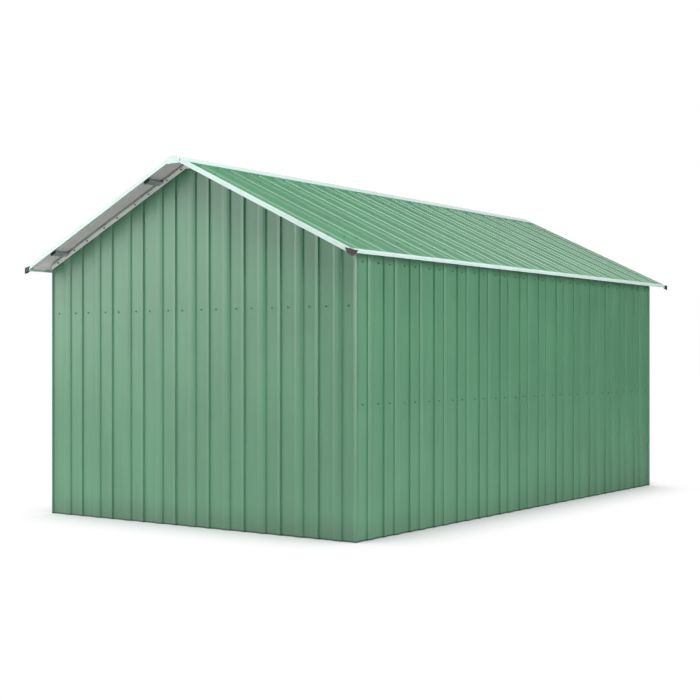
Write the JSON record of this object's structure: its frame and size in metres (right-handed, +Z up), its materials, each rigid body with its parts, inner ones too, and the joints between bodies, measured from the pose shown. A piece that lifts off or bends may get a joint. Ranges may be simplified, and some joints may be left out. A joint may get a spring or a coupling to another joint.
{
  "type": "metal garage",
  "caption": "Closed gable-roofed metal garage of green ribbed sheet with white folded trims and black corner caps on a light tube frame.",
  "frame": {"origin": "middle of the footprint, on the ground", "axes": "+Z up, +Y along the ridge from the front gable to the rear gable, +X to the right seen from the front gable"},
  "size_m": [3.2086, 5.4264, 2.7316],
  "materials": {
    "green_sheet": "gloss",
    "white_trim": "satin",
    "zinc_tube": "satin",
    "black_plastic": "matte"
  },
  "bodies": {
    "root": {"front_gable_wall": "green_sheet", "rear_gable_wall": "green_sheet", "left_side_wall": "green_sheet", "right_side_wall": "green_sheet", "front_left_post": "zinc_tube", "front_right_post": "zinc_tube", "rear_left_post": "zinc_tube", "rear_right_post": "zinc_tube", "front_base_rail": "zinc_tube", "rear_base_rail": "zinc_tube", "left_base_rail": "zinc_tube", "right_base_rail": "zinc_tube", "front_gable_girt": "zinc_tube", "rear_gable_girt": "zinc_tube", "left_side_girt": "zinc_tube", "right_side_girt": "zinc_tube", "left_wall_plate": "zinc_tube", "right_wall_plate": "zinc_tube", "front_left_rafter": "zinc_tube", "front_right_rafter": "zinc_tube", "rear_left_rafter": "zinc_tube", "rear_right_rafter": "zinc_tube", "left_upper_purlin": "zinc_tube", "right_upper_purlin": "zinc_tube", "left_lower_purlin": "zinc_tube", "right_lower_purlin": "zinc_tube", "front_purlin_caps": "black_plastic", "rear_purlin_caps": "black_plastic", "left_roof_sheet": "green_sheet", "right_roof_sheet": "green_sheet", "ridge_cap": "white_trim", "front_left_rake_trim": "white_trim", "front_right_rake_trim": "white_trim", "rear_left_rake_trim": "white_trim", "rear_right_rake_trim": "white_trim", "left_eave_trim": "white_trim", "right_eave_trim": "white_trim", "front_apex_plate": "white_trim", "rear_apex_plate": "white_trim", "front_gable_strip": "white_trim", "rear_gable_strip": "white_trim", "front_left_corner_cap": "black_plastic", "front_right_corner_cap": "black_plastic", "rear_left_corner_cap": "black_plastic", "rear_right_corner_cap": "black_plastic"}
  },
  "joints": []
}
